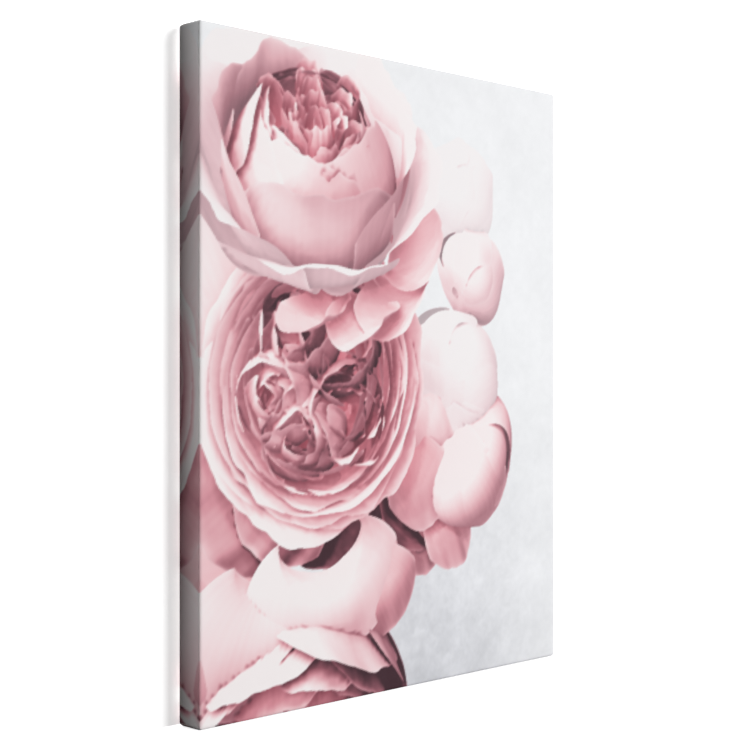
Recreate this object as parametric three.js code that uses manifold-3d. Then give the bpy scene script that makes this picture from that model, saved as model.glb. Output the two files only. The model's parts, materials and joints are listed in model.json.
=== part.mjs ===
// A stretched canvas picture: a printed cotton cloth wrapped round a keyed pine stretcher frame,
// stapled to the back of the bars, with a sawtooth hanger in the middle of the top bar.
//
// Frame: millimetres, +Z up, +Y towards the wall, the picture faces -Y.
// Origin: where the wall nail bears, in the middle notch of the hanger.

import * as THREE from "three";
import { mergeVertices } from "three/addons/utils/BufferGeometryUtils.js";
import Module from "manifold-3d";

const wasm = await Module();
wasm.setup();

// ---- driving sizes ----------------------------------------------------------------------------

const pictureWidth = 400;
const pictureHeight = 500;

const clothThickness = 0.5;
const clothMargin = 30; // how far the cloth reaches in over the back of the bars
const clothEdgeRadius = 1.6; // where the cloth turns from the front to a side
const clothCornerRadius = 2.4; // of the four corners, seen from the front
const foldReach = 40; // of each folded corner along the back edges
const foldThickness = 0.8;

const barWidth = 38;
const barDepth = 23;
const lipWidth = 7; // the raised front lip that the cloth turns over
const faceDrop = 4; // how far the front of a bar falls away from the cloth
const backChamfer = 1.2;

const tenonThickness = 4.5;
const frontTenonDepth = 6.5; // from the front of the bar to the rails' tenons
const tenonSpacing = 6.5; // from the rails' tenons to the stiles' tenons
const keyRoom = 10; // in each slot, beside the tenon

const keyLength = 38;
const keyInsertion = 20; // how much of a key is inside its slot
const keyTaper = 0.16; // width lost for each unit of length

const stapleCrown = 11.4;
const stapleLeg = 8;
const stapleWireWidth = 1.2;
const stapleWireThickness = 0.7;
const stapleInset = 15; // from the outside of the cloth
const stapleToFold = 3; // from the last staple on a bar to the folded corner
const cornerStapleInset = 18;
const staplesBesideHanger = 4; // on each side of the hanger
const staplesOnBottomRail = 8;
const staplesPerStile = 10;

const hangerLength = 62;
const hangerHeight = 16;
const hangerThickness = 0.8;
const hangerRise = 3.4; // of the toothed strip above its tabs
const hangerTab = 10;
const hangerSlope = 3;
const hangerDrop = 20; // from the top of the picture to the middle of the hanger
const windowWidth = 33;
const windowHeight = 6;
const toothPitch = 3;
const toothHeight = 1.6;
const notchShare = 0.8; // of the pitch, at the mouth of a notch

const pinHeadRadius = 2.3;
const pinHeadFlat = 1.8; // radius of the flat on top of the head
const pinHeadThickness = 0.8;
const pinRadius = 0.8;
const pinLength = 12;
const pinPoint = 2; // length of its point
const pinSides = 16;

const restGap = 0.1; // between pieces that lie against each other
const jointGap = 0.3; // between the cut faces of the corner joints
const holeClearance = 0.2; // round staple legs and pins
const overrun = 1; // of a cutting shape past the face it cuts

// ---- sizes that follow ------------------------------------------------------------------------

const clothBuild = clothThickness + restGap;
const frameWidth = pictureWidth - 2 * clothBuild;
const frameHeight = pictureHeight - 2 * clothBuild;
const marginBack = clothBuild; // the bars' backs are at y = 0, and the cloth lies on them
const clothFront = -barDepth - clothBuild;
const rearTenonDepth = frontTenonDepth + tenonSpacing;
const hangerMiddle = pictureHeight / 2 - hangerDrop;
const hangerBase = marginBack + restGap;
const nailHeight = hangerMiddle + windowHeight / 2;
const nailDepth = hangerBase + hangerRise + hangerThickness / 2;
const keyMouthWidth = keyRoom - 2 * jointGap;
const lastStapleInset = clothCornerRadius + foldReach + stapleToFold + stapleCrown / 2;

// ---- materials --------------------------------------------------------------------------------

const paint = (colour, roughness, metalness = 0) =>
  new THREE.MeshStandardMaterial({ color: new THREE.Color(...colour), roughness, metalness });

const printedCloth = paint([0.86, 0.72, 0.72], 0.8);
const pine = paint([0.8, 0.64, 0.43], 0.65);
const beech = paint([0.76, 0.56, 0.38], 0.6);
const steel = paint([0.62, 0.62, 0.63], 0.35, 1);
const zincPlate = paint([0.7, 0.69, 0.66], 0.3, 1);

// ---- shapes -----------------------------------------------------------------------------------

// A closed outline from a list of [x, y] points.
function outline(points) {
  return new THREE.Shape(points.map(([x, y]) => new THREE.Vector2(x, y)));
}

// A plate whose outline is given in X and Z, from y = back - thickness to y = back.
function plate(shape, back, thickness, bevel = {}) {
  const geometry = new THREE.ExtrudeGeometry(shape, {
    depth: thickness,
    bevelEnabled: false,
    curveSegments: 4,
    ...bevel,
  });
  geometry.rotateX(Math.PI / 2);
  geometry.translate(0, back, 0);
  return geometry;
}

// A box between two corners.
function block(low, high) {
  const size = high.map((value, i) => value - low[i]);
  const geometry = new THREE.BoxGeometry(...size);
  return geometry.translate(...low.map((value, i) => value + size[i] / 2));
}

// A slab with rounded corners and rounded front and back edges, from y = front to y = back.
function roundedSlab(width, height, front, back, cornerRadius, edgeRadius) {
  const x = width / 2;
  const z = height / 2;
  const r = cornerRadius;
  const shape = new THREE.Shape();
  shape.moveTo(-x + r, -z);
  shape.lineTo(x - r, -z);
  shape.absarc(x - r, -z + r, r, -Math.PI / 2, 0);
  shape.lineTo(x, z - r);
  shape.absarc(x - r, z - r, r, 0, Math.PI / 2);
  shape.lineTo(-x + r, z);
  shape.absarc(-x + r, z - r, r, Math.PI / 2, Math.PI);
  shape.lineTo(-x, -z + r);
  shape.absarc(-x + r, -z + r, r, Math.PI, 1.5 * Math.PI);
  return plate(shape, back - edgeRadius, back - front - 2 * edgeRadius, {
    bevelEnabled: true,
    bevelThickness: edgeRadius,
    bevelSize: edgeRadius,
    bevelOffset: -edgeRadius,
    bevelSegments: 3,
  });
}

// ---- joining and cutting ----------------------------------------------------------------------

// The solid inside a closed geometry.
function solidOf(geometry) {
  const bare = new THREE.BufferGeometry();
  bare.setAttribute("position", geometry.getAttribute("position"));
  bare.setIndex(geometry.getIndex());
  const merged = mergeVertices(bare, 1e-4);
  return new wasm.Manifold(
    new wasm.Mesh({
      numProp: 3,
      vertProperties: merged.attributes.position.array,
      triVerts: new Uint32Array(merged.index.array),
    }),
  );
}

// The geometry of a solid.
function geometryOf(solid) {
  const mesh = solid.getMesh();
  const geometry = new THREE.BufferGeometry();
  geometry.setAttribute("position", new THREE.BufferAttribute(mesh.vertProperties, 3));
  geometry.setIndex(new THREE.BufferAttribute(mesh.triVerts, 1));
  geometry.computeVertexNormals();
  return geometry;
}

function cut(solid, tools) {
  return tools.reduce((left, tool) => left.subtract(solidOf(tool)), solid);
}

function join(solid, additions) {
  return additions.reduce((whole, addition) => whole.add(solidOf(addition)), solid);
}

// ---- staples ----------------------------------------------------------------------------------

// Evenly spaced places from low to high, both included.
function spread(count, low, high) {
  return Array.from({ length: count }, (_, i) => low + ((high - low) * i) / (count - 1));
}

// Where each staple is: the middle of its crown in X and Z, and the turn of its crown about Y.
// Its seat is the surface that the crown lies on.
function staplePlaces() {
  const places = [];
  const railZ = pictureHeight / 2 - stapleInset;
  const stileX = pictureWidth / 2 - stapleInset;
  const lastX = pictureWidth / 2 - lastStapleInset;
  const lastZ = pictureHeight / 2 - lastStapleInset;
  const besideHanger = hangerLength / 2 + stapleCrown;
  for (const side of [-1, 1]) {
    for (const x of spread(staplesBesideHanger, besideHanger, lastX)) {
      places.push({ x: side * x, z: railZ, turn: 0, seat: marginBack });
    }
  }
  for (const x of spread(staplesOnBottomRail, -lastX, lastX)) {
    places.push({ x, z: -railZ, turn: 0, seat: marginBack });
  }
  for (const side of [-1, 1]) {
    for (const z of spread(staplesPerStile, -lastZ, lastZ)) {
      places.push({ x: side * stileX, z, turn: Math.PI / 2, seat: marginBack });
    }
  }
  for (const right of [-1, 1]) {
    for (const up of [-1, 1]) {
      places.push({
        x: right * (pictureWidth / 2 - cornerStapleInset),
        z: up * (pictureHeight / 2 - cornerStapleInset),
        turn: (right * up * Math.PI) / 4,
        seat: marginBack + foldThickness,
      });
    }
  }
  return places;
}

// One bent wire: a crown and two legs, standing on the plane y = 0 with its legs towards -Y.
function stapleGeometry() {
  const half = stapleCrown / 2;
  const inner = half - stapleWireThickness;
  const top = stapleWireThickness;
  const tip = top - stapleLeg;
  const point = tip + 2 * stapleWireThickness;
  const shape = outline([
    [-half, point],
    [-inner, tip],
    [-inner, 0],
    [inner, 0],
    [inner, tip],
    [half, point],
    [half, top],
    [-half, top],
  ]);
  const geometry = new THREE.ExtrudeGeometry(shape, { depth: stapleWireWidth, bevelEnabled: false });
  return geometry.translate(0, 0, -stapleWireWidth / 2);
}

// The two holes that a staple's legs make, in the picture's frame.
function stapleHoles(place) {
  const half = stapleCrown / 2;
  const top = place.seat + restGap + stapleWireThickness;
  const wire = stapleWireWidth / 2 + holeClearance;
  return [-1, 1].map((side) => {
    const near = half + holeClearance;
    const far = half - stapleWireThickness - holeClearance;
    const xs = [side * near, side * far].sort((a, b) => a - b);
    const hole = block(
      [xs[0], top - stapleLeg - holeClearance, -wire],
      [xs[1], top + restGap, wire],
    );
    hole.rotateY(place.turn);
    return hole.translate(place.x, 0, place.z);
  });
}

// ---- hanger -----------------------------------------------------------------------------------

// The strip seen from above: two flat tabs, and a raised middle between two slopes.
function hangerGeometry() {
  const end = hangerLength / 2;
  const foot = end - hangerTab;
  const shoulder = foot - hangerSlope;
  const t = hangerThickness;
  const strip = outline([
    [-end, 0],
    [-foot, 0],
    [-shoulder, hangerRise],
    [shoulder, hangerRise],
    [foot, 0],
    [end, 0],
    [end, t],
    [foot + t / 2, t],
    [shoulder + t / 2, hangerRise + t],
    [-shoulder - t / 2, hangerRise + t],
    [-foot - t / 2, t],
    [-end, t],
  ]);
  const geometry = new THREE.ExtrudeGeometry(strip, { depth: hangerHeight, bevelEnabled: false });
  return geometry.translate(0, hangerBase, hangerMiddle - hangerHeight / 2);
}

// The window's outline: straight below, and above a row of teeth with a notch at x = 0.
function toothedWindow() {
  const x = windowWidth / 2;
  const low = hangerMiddle - windowHeight / 2;
  const teeth = Math.floor(windowWidth / toothPitch / 2);
  const points = [
    [-x, low],
    [x, low],
    [x, nailHeight - toothHeight],
  ];
  for (let i = teeth; i >= -teeth; i--) {
    points.push([(i + notchShare / 2) * toothPitch, nailHeight - toothHeight]);
    points.push([i * toothPitch, nailHeight]);
    points.push([(i - notchShare / 2) * toothPitch, nailHeight - toothHeight]);
  }
  points.push([-x, nailHeight - toothHeight]);
  return outline(points);
}

const pinPlaces = [-1, 1].map((side) => side * (hangerLength / 2 - hangerTab / 2));
const pinSeat = hangerBase + hangerThickness + restGap;

// A turned piece, from [radius, height] points, with its axis along Y.
function turned(points) {
  const profile = points.map(([radius, height]) => new THREE.Vector2(radius, height));
  return new THREE.LatheGeometry(profile, pinSides);
}

function pinGeometry() {
  const tip = pinHeadThickness - pinLength;
  return turned([
    [0, tip],
    [pinRadius, tip + pinPoint],
    [pinRadius, 0],
    [pinHeadRadius, 0],
    [pinHeadRadius, pinHeadThickness / 2],
    [pinHeadFlat, pinHeadThickness],
    [0, pinHeadThickness],
  ]);
}

// The hole that a pin goes through, in the picture's frame.
function pinHole(x) {
  const radius = pinRadius + holeClearance;
  const low = pinSeat + pinHeadThickness - pinLength - holeClearance;
  const high = pinSeat + restGap;
  const hole = turned([[0, low], [radius, low], [radius, high], [0, high]]);
  return hole.translate(x, 0, hangerMiddle);
}

// ---- stretcher bars ---------------------------------------------------------------------------

// The bar's section: inwards from its outer face along X, and back from its front along Y.
const barSection = outline([
  [0, 0],
  [lipWidth, 0],
  [barWidth, faceDrop],
  [barWidth, barDepth - backChamfer],
  [barWidth - backChamfer, barDepth],
  [0, barDepth],
]);

// All that lies inside the cloth, with the gap between them taken off.
const insideCloth = roundedSlab(
  frameWidth,
  frameHeight,
  -barDepth,
  0,
  clothCornerRadius - clothBuild,
  clothEdgeRadius - clothBuild,
);

// A bar along X, mitred at both ends. Its outer face is at z = 0 and its back at y = 0.
function mitredBar(length) {
  const geometry = new THREE.ExtrudeGeometry(barSection, { depth: length, bevelEnabled: false });
  const position = geometry.getAttribute("position");
  const point = new THREE.Vector3();
  for (let i = 0; i < position.count; i++) {
    point.fromBufferAttribute(position, i);
    const inwards = point.x;
    const end = length / 2 - inwards - jointGap / 2;
    const side = point.z > length / 2 ? 1 : -1;
    position.setXYZ(i, side * end, point.y - barDepth, -inwards);
  }
  return geometry;
}

// A slice of a bar's corner, from a depth behind the front, for a tenon or the slot round one.
function cornerSlice(side, from, to, depth, thickness, low, high) {
  const xs = [side * from, side * to].sort((a, b) => a - b);
  return block([xs[0], depth - barDepth, low], [xs[1], depth - barDepth + thickness, high]);
}

// A bar with a tenon and a slot at each end, trimmed to the envelope, with holes for the staples
// and pins. The envelope and the holes are given in the bar's own frame.
function barGeometry(length, tenonDepth, slotDepth, envelope, holes) {
  const corner = length / 2 - barWidth;
  const tenons = [];
  const slots = [];
  for (const side of [-1, 1]) {
    tenons.push(
      cornerSlice(side, corner, length / 2 - jointGap, tenonDepth, tenonThickness, -barWidth, 0),
    );
    slots.push(
      cornerSlice(
        side,
        corner - keyRoom,
        length / 2 + overrun,
        slotDepth - jointGap,
        tenonThickness + 2 * jointGap,
        -barWidth - overrun,
        overrun,
      ),
    );
  }
  const wood = cut(join(solidOf(mitredBar(length)), tenons), slots);
  return geometryOf(cut(wood.intersect(solidOf(envelope)), holes));
}

// ---- keys -------------------------------------------------------------------------------------

// The wedges at one inner corner. Each lies along one bar and goes into a slot of the other:
// the rail's key stands beside the stile, and the stile's key lies under the rail.
function keyOutlines(right, up) {
  const innerX = frameWidth / 2 - barWidth;
  const innerZ = frameHeight / 2 - barWidth;
  const start = keyInsertion - keyLength;
  const wedge = [
    [jointGap, start],
    [jointGap + keyMouthWidth - keyTaper * start, start],
    [jointGap + keyMouthWidth - keyTaper * keyInsertion, keyInsertion],
    [jointGap, keyInsertion],
  ];
  return {
    rail: outline(wedge.map(([out, along]) => [right * (innerX - out), up * (innerZ + along)])),
    stile: outline(wedge.map(([out, along]) => [right * (innerX + along), up * (innerZ - out)])),
  };
}

// ---- cloth ------------------------------------------------------------------------------------

// The folded layers at one corner of the back.
function cornerFold(right, up) {
  const x = pictureWidth / 2 - clothCornerRadius;
  const z = pictureHeight / 2 - clothCornerRadius;
  const inner = clothMargin - clothCornerRadius;
  const kite = [
    [x, z],
    [x - foldReach, z],
    [x - inner, z - inner],
    [x, z - foldReach],
  ];
  return plate(
    outline(kite.map(([a, b]) => [right * a, up * b])),
    marginBack + foldThickness,
    foldThickness + clothThickness / 2,
  );
}

function clothGeometry(holes) {
  const t = clothThickness;
  const outer = roundedSlab(
    pictureWidth,
    pictureHeight,
    clothFront,
    marginBack,
    clothCornerRadius,
    clothEdgeRadius,
  );
  const hollow = roundedSlab(
    pictureWidth - 2 * t,
    pictureHeight - 2 * t,
    clothFront + t,
    marginBack - t,
    clothCornerRadius - t,
    clothEdgeRadius - t,
  );
  const x = pictureWidth / 2 - clothMargin;
  const z = pictureHeight / 2 - clothMargin;
  const backWindow = block([-x, -barDepth / 2, -z], [x, marginBack + overrun, z]);
  const folds = [];
  for (const right of [-1, 1]) {
    for (const up of [-1, 1]) {
      folds.push(cornerFold(right, up));
    }
  }
  const shell = cut(solidOf(outer), [hollow, backWindow]);
  return geometryOf(cut(join(shell, folds), holes));
}

// ---- assembly ---------------------------------------------------------------------------------

const picture = new THREE.Group();
const assembly = new THREE.Group();
assembly.position.set(0, -nailDepth, -nailHeight);
picture.add(assembly);

function place(name, geometry, material) {
  const mesh = new THREE.Mesh(geometry, material);
  mesh.name = name;
  assembly.add(mesh);
  return mesh;
}

const staples = staplePlaces();
const holes = [...staples.flatMap(stapleHoles), ...pinPlaces.map(pinHole)];

place("canvas", clothGeometry(holes), printedCloth);

// Rails lie along X and stiles along Z. Each is drawn as a top rail and turned about Y.
const bars = [
  { name: "rail_top", turn: 0, length: frameWidth, reach: frameHeight / 2, rail: true },
  { name: "rail_bottom", turn: Math.PI, length: frameWidth, reach: frameHeight / 2, rail: true },
  { name: "stile_right", turn: Math.PI / 2, length: frameHeight, reach: frameWidth / 2, rail: false },
  { name: "stile_left", turn: -Math.PI / 2, length: frameHeight, reach: frameWidth / 2, rail: false },
];
for (const { name, turn, length, reach, rail } of bars) {
  const inBarFrame = new THREE.Matrix4().makeRotationY(turn).setPosition(
    reach * Math.sin(turn),
    0,
    reach * Math.cos(turn),
  );
  const back = inBarFrame.clone().invert();
  const ownHoles = holes.map((hole) => hole.clone().applyMatrix4(back));
  const envelope = insideCloth.clone().applyMatrix4(back);
  const [tenonDepth, slotDepth] = rail
    ? [frontTenonDepth, rearTenonDepth]
    : [rearTenonDepth, frontTenonDepth];
  const bar = place(name, barGeometry(length, tenonDepth, slotDepth, envelope, ownHoles), pine);
  bar.applyMatrix4(inBarFrame);
}

const keyThickness = tenonThickness - jointGap;
for (const [right, sideName] of [[-1, "left"], [1, "right"]]) {
  for (const [up, levelName] of [[-1, "bottom"], [1, "top"]]) {
    const wedge = keyOutlines(right, up);
    const corner = `${levelName}_${sideName}`;
    const railBack = rearTenonDepth + tenonThickness - jointGap / 2 - barDepth;
    const stileBack = frontTenonDepth + tenonThickness - jointGap / 2 - barDepth;
    place(`key_rail_${corner}`, plate(wedge.rail, railBack, keyThickness), beech);
    place(`key_stile_${corner}`, plate(wedge.stile, stileBack, keyThickness), beech);
  }
}

staples.forEach(({ x, z, turn, seat }, i) => {
  const staple = place(`staple_${String(i + 1).padStart(2, "0")}`, stapleGeometry(), steel);
  staple.position.set(x, seat + restGap, z);
  staple.rotation.y = turn;
});

const windowCut = plate(
  toothedWindow(),
  hangerBase + hangerRise + hangerThickness + overrun,
  hangerThickness + 2 * overrun,
);
const toothedStrip = cut(solidOf(hangerGeometry()), [windowCut, ...pinPlaces.map(pinHole)]);
place("sawtooth_hanger", geometryOf(toothedStrip), zincPlate);

pinPlaces.forEach((x, i) => {
  const pin = place(`hanger_pin_${i === 0 ? "left" : "right"}`, pinGeometry(), steel);
  pin.position.set(x, pinSeat, hangerMiddle);
});

export default picture;
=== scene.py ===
"""The looks of a stretched canvas print: printed cloth, pine bars, keys, staples and hanger."""

import json
import math

import bpy
import numpy as np
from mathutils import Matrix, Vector
from mathutils.bvhtree import BVHTree

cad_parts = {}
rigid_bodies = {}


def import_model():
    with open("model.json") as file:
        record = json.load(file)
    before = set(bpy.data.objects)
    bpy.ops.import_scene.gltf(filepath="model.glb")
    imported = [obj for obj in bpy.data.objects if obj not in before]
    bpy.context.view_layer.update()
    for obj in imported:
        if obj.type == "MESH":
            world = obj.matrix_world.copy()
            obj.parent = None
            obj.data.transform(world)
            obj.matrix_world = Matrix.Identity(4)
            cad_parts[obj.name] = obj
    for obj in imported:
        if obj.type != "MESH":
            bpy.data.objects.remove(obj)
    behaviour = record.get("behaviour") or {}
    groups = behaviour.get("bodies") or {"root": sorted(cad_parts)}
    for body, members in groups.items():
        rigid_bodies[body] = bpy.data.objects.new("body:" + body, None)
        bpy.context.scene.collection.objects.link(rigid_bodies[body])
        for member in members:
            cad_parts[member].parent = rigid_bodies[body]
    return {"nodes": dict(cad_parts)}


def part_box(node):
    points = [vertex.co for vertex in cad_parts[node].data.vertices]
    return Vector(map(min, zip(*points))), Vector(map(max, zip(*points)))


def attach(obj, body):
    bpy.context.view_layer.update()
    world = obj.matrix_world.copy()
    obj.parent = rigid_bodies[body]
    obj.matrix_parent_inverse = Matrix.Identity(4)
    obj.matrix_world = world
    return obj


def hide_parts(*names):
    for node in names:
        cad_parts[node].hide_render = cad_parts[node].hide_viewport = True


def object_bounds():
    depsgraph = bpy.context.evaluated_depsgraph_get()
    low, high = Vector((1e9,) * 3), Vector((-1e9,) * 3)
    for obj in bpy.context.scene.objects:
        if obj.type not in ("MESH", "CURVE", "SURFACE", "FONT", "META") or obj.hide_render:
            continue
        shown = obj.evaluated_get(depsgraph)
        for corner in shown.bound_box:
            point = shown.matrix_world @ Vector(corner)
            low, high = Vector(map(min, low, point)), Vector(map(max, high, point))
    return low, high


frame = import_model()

cad_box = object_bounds()


def new_object(name, data):
    thing = bpy.data.objects.new(name, data)
    bpy.context.scene.collection.objects.link(thing)
    return thing


# ==== sizes, in metres ====

MM = 0.001
cloth_low, cloth_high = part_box("canvas")
_, bars_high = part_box("stile_left")
WIDTH = cloth_high.x - cloth_low.x
HEIGHT = cloth_high.z - cloth_low.z
FRONT = cloth_low.y
BAR_BACK = bars_high.y
MIDDLE = (cloth_low.z + cloth_high.z) / 2

CLOTH = 0.5 * MM
REST_GAP = 0.1 * MM
BACK = BAR_BACK + CLOTH + REST_GAP  # the outside of the cloth on the back of the bars
DEPTH = BACK - FRONT
EDGE_RADIUS = 1.6 * MM  # where the cloth turns from the front to a side
CORNER_RADIUS = 2.4 * MM  # of the four corners, seen from the front
MARGIN = 30 * MM  # how far the cloth reaches in over the back
WRAP_PRINT = 7 * MM  # how far the print reaches in over the back

# ==== the printed picture ====
#
# The picture is a bunch of peonies in front of pale plaster, painted by formula. Each petal is a
# curved sheet. Rays find the sheet that shows at each point of the picture and how much of a soft
# sky lights it, and a pink ramp turns that into a colour. The picture's own unit is a millimetre:
# x to the right, y up, z towards the viewer, from the middle of the front.

PICTURE_WIDTH = 400
PICTURE_HEIGHT = 500
PICTURE_STEP = 0.5
BRUSH = 1.0  # what is narrower is evened out
ACROSS, ALONG = 35, 31  # points on a petal
BASE_WIDTH = 0.18  # of a petal, as a share of its widest
FAR = 400  # beyond every petal
SKY_RAYS = 40
SKY_REACH = 80  # what is further away gives no shade
SKY_START = 1.5  # how far from a petal its rays start, so that petals that touch don't shade it
SKY_KEY = (-0.55, 0.62, 0.56)  # the way to the brightest part
SKY_LEAST, SKY_MOST = 0.2, 2.0
THROUGH = 0.6  # of the light, through a petal that is SKY_REACH away
GLOBE_PETALS = 4  # in a layer of a closed flower


def unit(v):
    v = np.asarray(v, float)
    return v / np.linalg.norm(v)


def smooth(x):
    x = np.clip(x, 0, 1)
    return x * x * (3 - 2 * x)


def waves(x, rng, lowest, count=4):
    """Smooth noise along x, about -1 to 1."""
    phases = rng.uniform(0, 2 * math.pi, count)
    parts = [np.sin(lowest * 1.7**i * x + phases[i]) / 1.6**i for i in range(count)]
    return sum(parts) / 1.9


def blotches(shape, cell, rng):
    """Smooth noise over a grid, about -1 to 1, with blotches of cell points."""
    y, x = (np.arange(n) / cell for n in shape)
    lattice = rng.uniform(-1, 1, (int(y[-1]) + 2, int(x[-1]) + 2))
    row, column = y.astype(int), x.astype(int)
    v, u = smooth(y - row)[:, None], smooth(x - column)[None, :]
    low = lattice[row][:, column] * (1 - u) + lattice[row][:, column + 1] * u
    high = lattice[row + 1][:, column] * (1 - u) + lattice[row + 1][:, column + 1] * u
    return low * (1 - v) + high * v


def sides_of(axis):
    first = unit(np.cross(axis, (0.31, 0.9, 0.2)))
    return first, np.cross(axis, first)


class Bouquet:
    """All petals, as one set of points, normals, triangles and marks.

    A point's marks are u from side to side, v from base to rim, the distance to the rim in
    millimetres, the depth of its pink, its haze, its tone, and its petal's own shade.
    """

    def __init__(self):
        self.points, self.normals, self.marks, self.triangles = [], [], [], []

    def petal(
        self, rng, centre, axis, turn, length, width,
        lift=(10, 90), curl=0, flat=1, base=4, tip=0.3, notch=0, frill=0.02,
        ruffle=0, folds=2.5, lean=0, roll=0, depth=0.5, haze=0, tone=0,
    ):
        """One petal of a flower that opens along axis, at an angle turn round it.

        lift is the slope in degrees at the base and near the rim, curl bends the rim back out,
        and flat widens the curve from side to side. tip rounds the rim off, notch dents it and
        frill waves it. ruffle, in as many folds, waves the sheet. lean and roll skew it.
        """
        axis = unit(axis)
        first, second = sides_of(axis)
        u, v = np.meshgrid(np.linspace(-1, 1, ACROSS), np.linspace(0, 1, ALONG), indexing="ij")
        dip = tip * np.abs(u) ** 2.6 + notch * np.exp(-((u / 0.16) ** 2))
        along = v * (1 - dip + frill * waves(u, rng, 5, 5))
        s = np.linspace(0, 1.2, 49)
        slope = np.radians(
            lift[0] + (lift[1] - lift[0]) * smooth(s / 0.75) - curl * smooth((s - 0.62) / 0.4)
        )
        step = length * s[1]
        outwards = base + np.concatenate([[0], np.cumsum(np.cos(slope[:-1]) * step)])
        upwards = np.concatenate([[0], np.cumsum(np.sin(slope[:-1]) * step)])
        out, up, tilt = (np.interp(along, s, curve) for curve in (outwards, upwards, slope))
        swelling = np.sin(1.95 * np.clip(along, 0, 1) ** 0.75)
        half_width = width * (BASE_WIDTH + (1 - BASE_WIDTH) * swelling)
        bend = np.maximum(out, 0.28 * width) * flat
        arc = u * half_width / bend
        out = out - bend + bend * np.cos(arc)
        aside = bend * np.sin(arc)
        swell = waves(u + 0.4 * v, rng, folds, 3) + 0.35 * waves(2.3 * u + v, rng, 1.8 * folds, 2)
        swell = swell * ruffle * v**2.2
        out = out + swell * np.sin(tilt) + roll * aside
        up = up - swell * np.cos(tilt) + lean * aside
        radial = math.cos(turn) * first + math.sin(turn) * second
        sideways = math.cos(turn) * second - math.sin(turn) * first
        place = np.asarray(centre, float) + out[..., None] * radial
        place = place + aside[..., None] * sideways + up[..., None] * axis
        normal = np.cross(np.gradient(place, axis=0), np.gradient(place, axis=1))
        normal /= np.maximum(np.linalg.norm(normal, axis=-1, keepdims=True), 1e-9)
        normal[normal[..., 2] < 0] *= -1
        rim = np.minimum((1 - np.abs(u)) * half_width, (1 - v) * length)
        even = np.ones_like(u)
        own = (depth * even, haze * even, tone * even, rng.uniform(-1, 1) * even)
        marks = np.stack([u, v, rim, *own], -1)
        start = sum(len(p) for p in self.points)
        i = start + np.arange(ACROSS * ALONG).reshape(ACROSS, ALONG)
        a, b, c, d = (q.ravel() for q in (i[:-1, :-1], i[1:, :-1], i[1:, 1:], i[:-1, 1:]))
        self.triangles += [np.stack([a, b, c], -1), np.stack([a, c, d], -1)]
        self.points.append(place.reshape(-1, 3))
        self.normals.append(normal.reshape(-1, 3))
        self.marks.append(marks.reshape(-1, marks.shape[-1]))

    def whorl(
        self, rng, count, start, length, width, lift, jitter=0.1, spread=5, roll=(0.02, 0.1), **rest
    ):
        """A ring of overlapping petals, each a little different."""
        for i in range(count):
            self.petal(
                rng,
                turn=start + 2 * math.pi * (i + rng.uniform(-jitter, jitter)) / count,
                length=length * rng.uniform(0.95, 1.05),
                width=width * rng.uniform(0.92, 1.08),
                lift=(lift[0], lift[1] + spread * rng.uniform(-1, 1)),
                roll=rng.uniform(*roll),
                lean=rng.uniform(-0.08, 0.08),
                **rest,
            )

    def laid(self, rng, root, way, face, length, width, **rest):
        """One petal laid out from its root along a way, with its inside towards a face."""
        face = unit(face)
        first, second = sides_of(face)
        turn = math.atan2(np.dot(way, second), np.dot(way, first))
        self.petal(rng, root, face, turn, length, width, **rest)

    def globe(self, rng, centre, axis, size, layers, closing, depth, haze, ruffle):
        """A closed round flower, its petals wrapped over each other."""
        axis = unit(axis)
        for k in range(layers):
            self.whorl(
                rng, GLOBE_PETALS, 1.2 + 0.8 * k, size * (1 - 0.05 * k), size * (0.6 - 0.03 * k),
                (0, closing - 3 * k), centre=centre - 0.48 * size * axis, axis=axis,
                base=0.06 * size, flat=1.05, frill=0.015, ruffle=ruffle, roll=(0.14, 0.2),
                depth=depth, haze=haze,
            )


def open_bloom(bunch):
    """The middle flower, which faces the viewer: guard petals, nested cups and a full heart."""
    rng = np.random.default_rng(21)
    axis = unit((-0.15, 0.07, 1))
    centre = np.array([-84, -8, 8])
    for k, start in enumerate((0.5, 1.1, 0.1)):
        bunch.whorl(
            rng, 6, start, 103 - 5 * k, 84 - 5 * k, (0, 48 + 9 * k),
            centre=centre + (5 * k - 20) * axis, axis=axis, curl=54 - 5 * k, base=26, flat=1.5,
            frill=0.03, ruffle=2.5, depth=0.2 + 0.06 * k, tip=0.22, notch=0.04, spread=4,
            tone=0.05,
        )
    for k in range(6):
        radius = 98 - 5.6 * k
        bunch.whorl(
            rng, 4 + k % 2, 0.9 * k + 0.4, 76 - 2 * k, 0.95 * radius, (5, 80 + 3 * k),
            centre=centre + axis * (1.5 * k - 4), axis=axis, curl=26 - 4 * k,
            base=radius - 42, flat=1.15, frill=0.028, ruffle=2.6, depth=0.26 + 0.05 * k,
            tip=0.2, notch=0.03, spread=12, jitter=0.5, tone=0.18,
        )
    bunch.whorl(
        rng, 7, 0.2, 62, 50, (0, 12), centre=centre - 8 * axis, axis=axis, base=0, flat=2,
        depth=0.95,
    )
    first, second = sides_of(axis)
    for sector in range(5):
        angle = 0.5 + 2 * math.pi * (sector + rng.uniform(-0.15, 0.15)) / 5
        out = math.cos(angle) * first + math.sin(angle) * second
        closed = max(0.3, 0.5 - 0.5 * np.dot(out, unit((0.8, 0.5, 0))))
        for k in range(3):
            bunch.whorl(
                rng, 3, angle + 0.5 + k, 64 - 3 * k, 58 - 13 * k, (40, 88 + 40 * closed),
                centre=centre + 35 * out + (8 + 2 * k) * axis, axis=axis + 0.2 * out,
                base=24 - 9 * k, curl=rng.uniform(0, 40), flat=1.25, tip=0.3, notch=0.12,
                frill=0.07, ruffle=6, folds=2.6, depth=0.3 + 0.1 * k, tone=0.1 * closed - 0.06,
                jitter=0.25, spread=10,
            )


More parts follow.
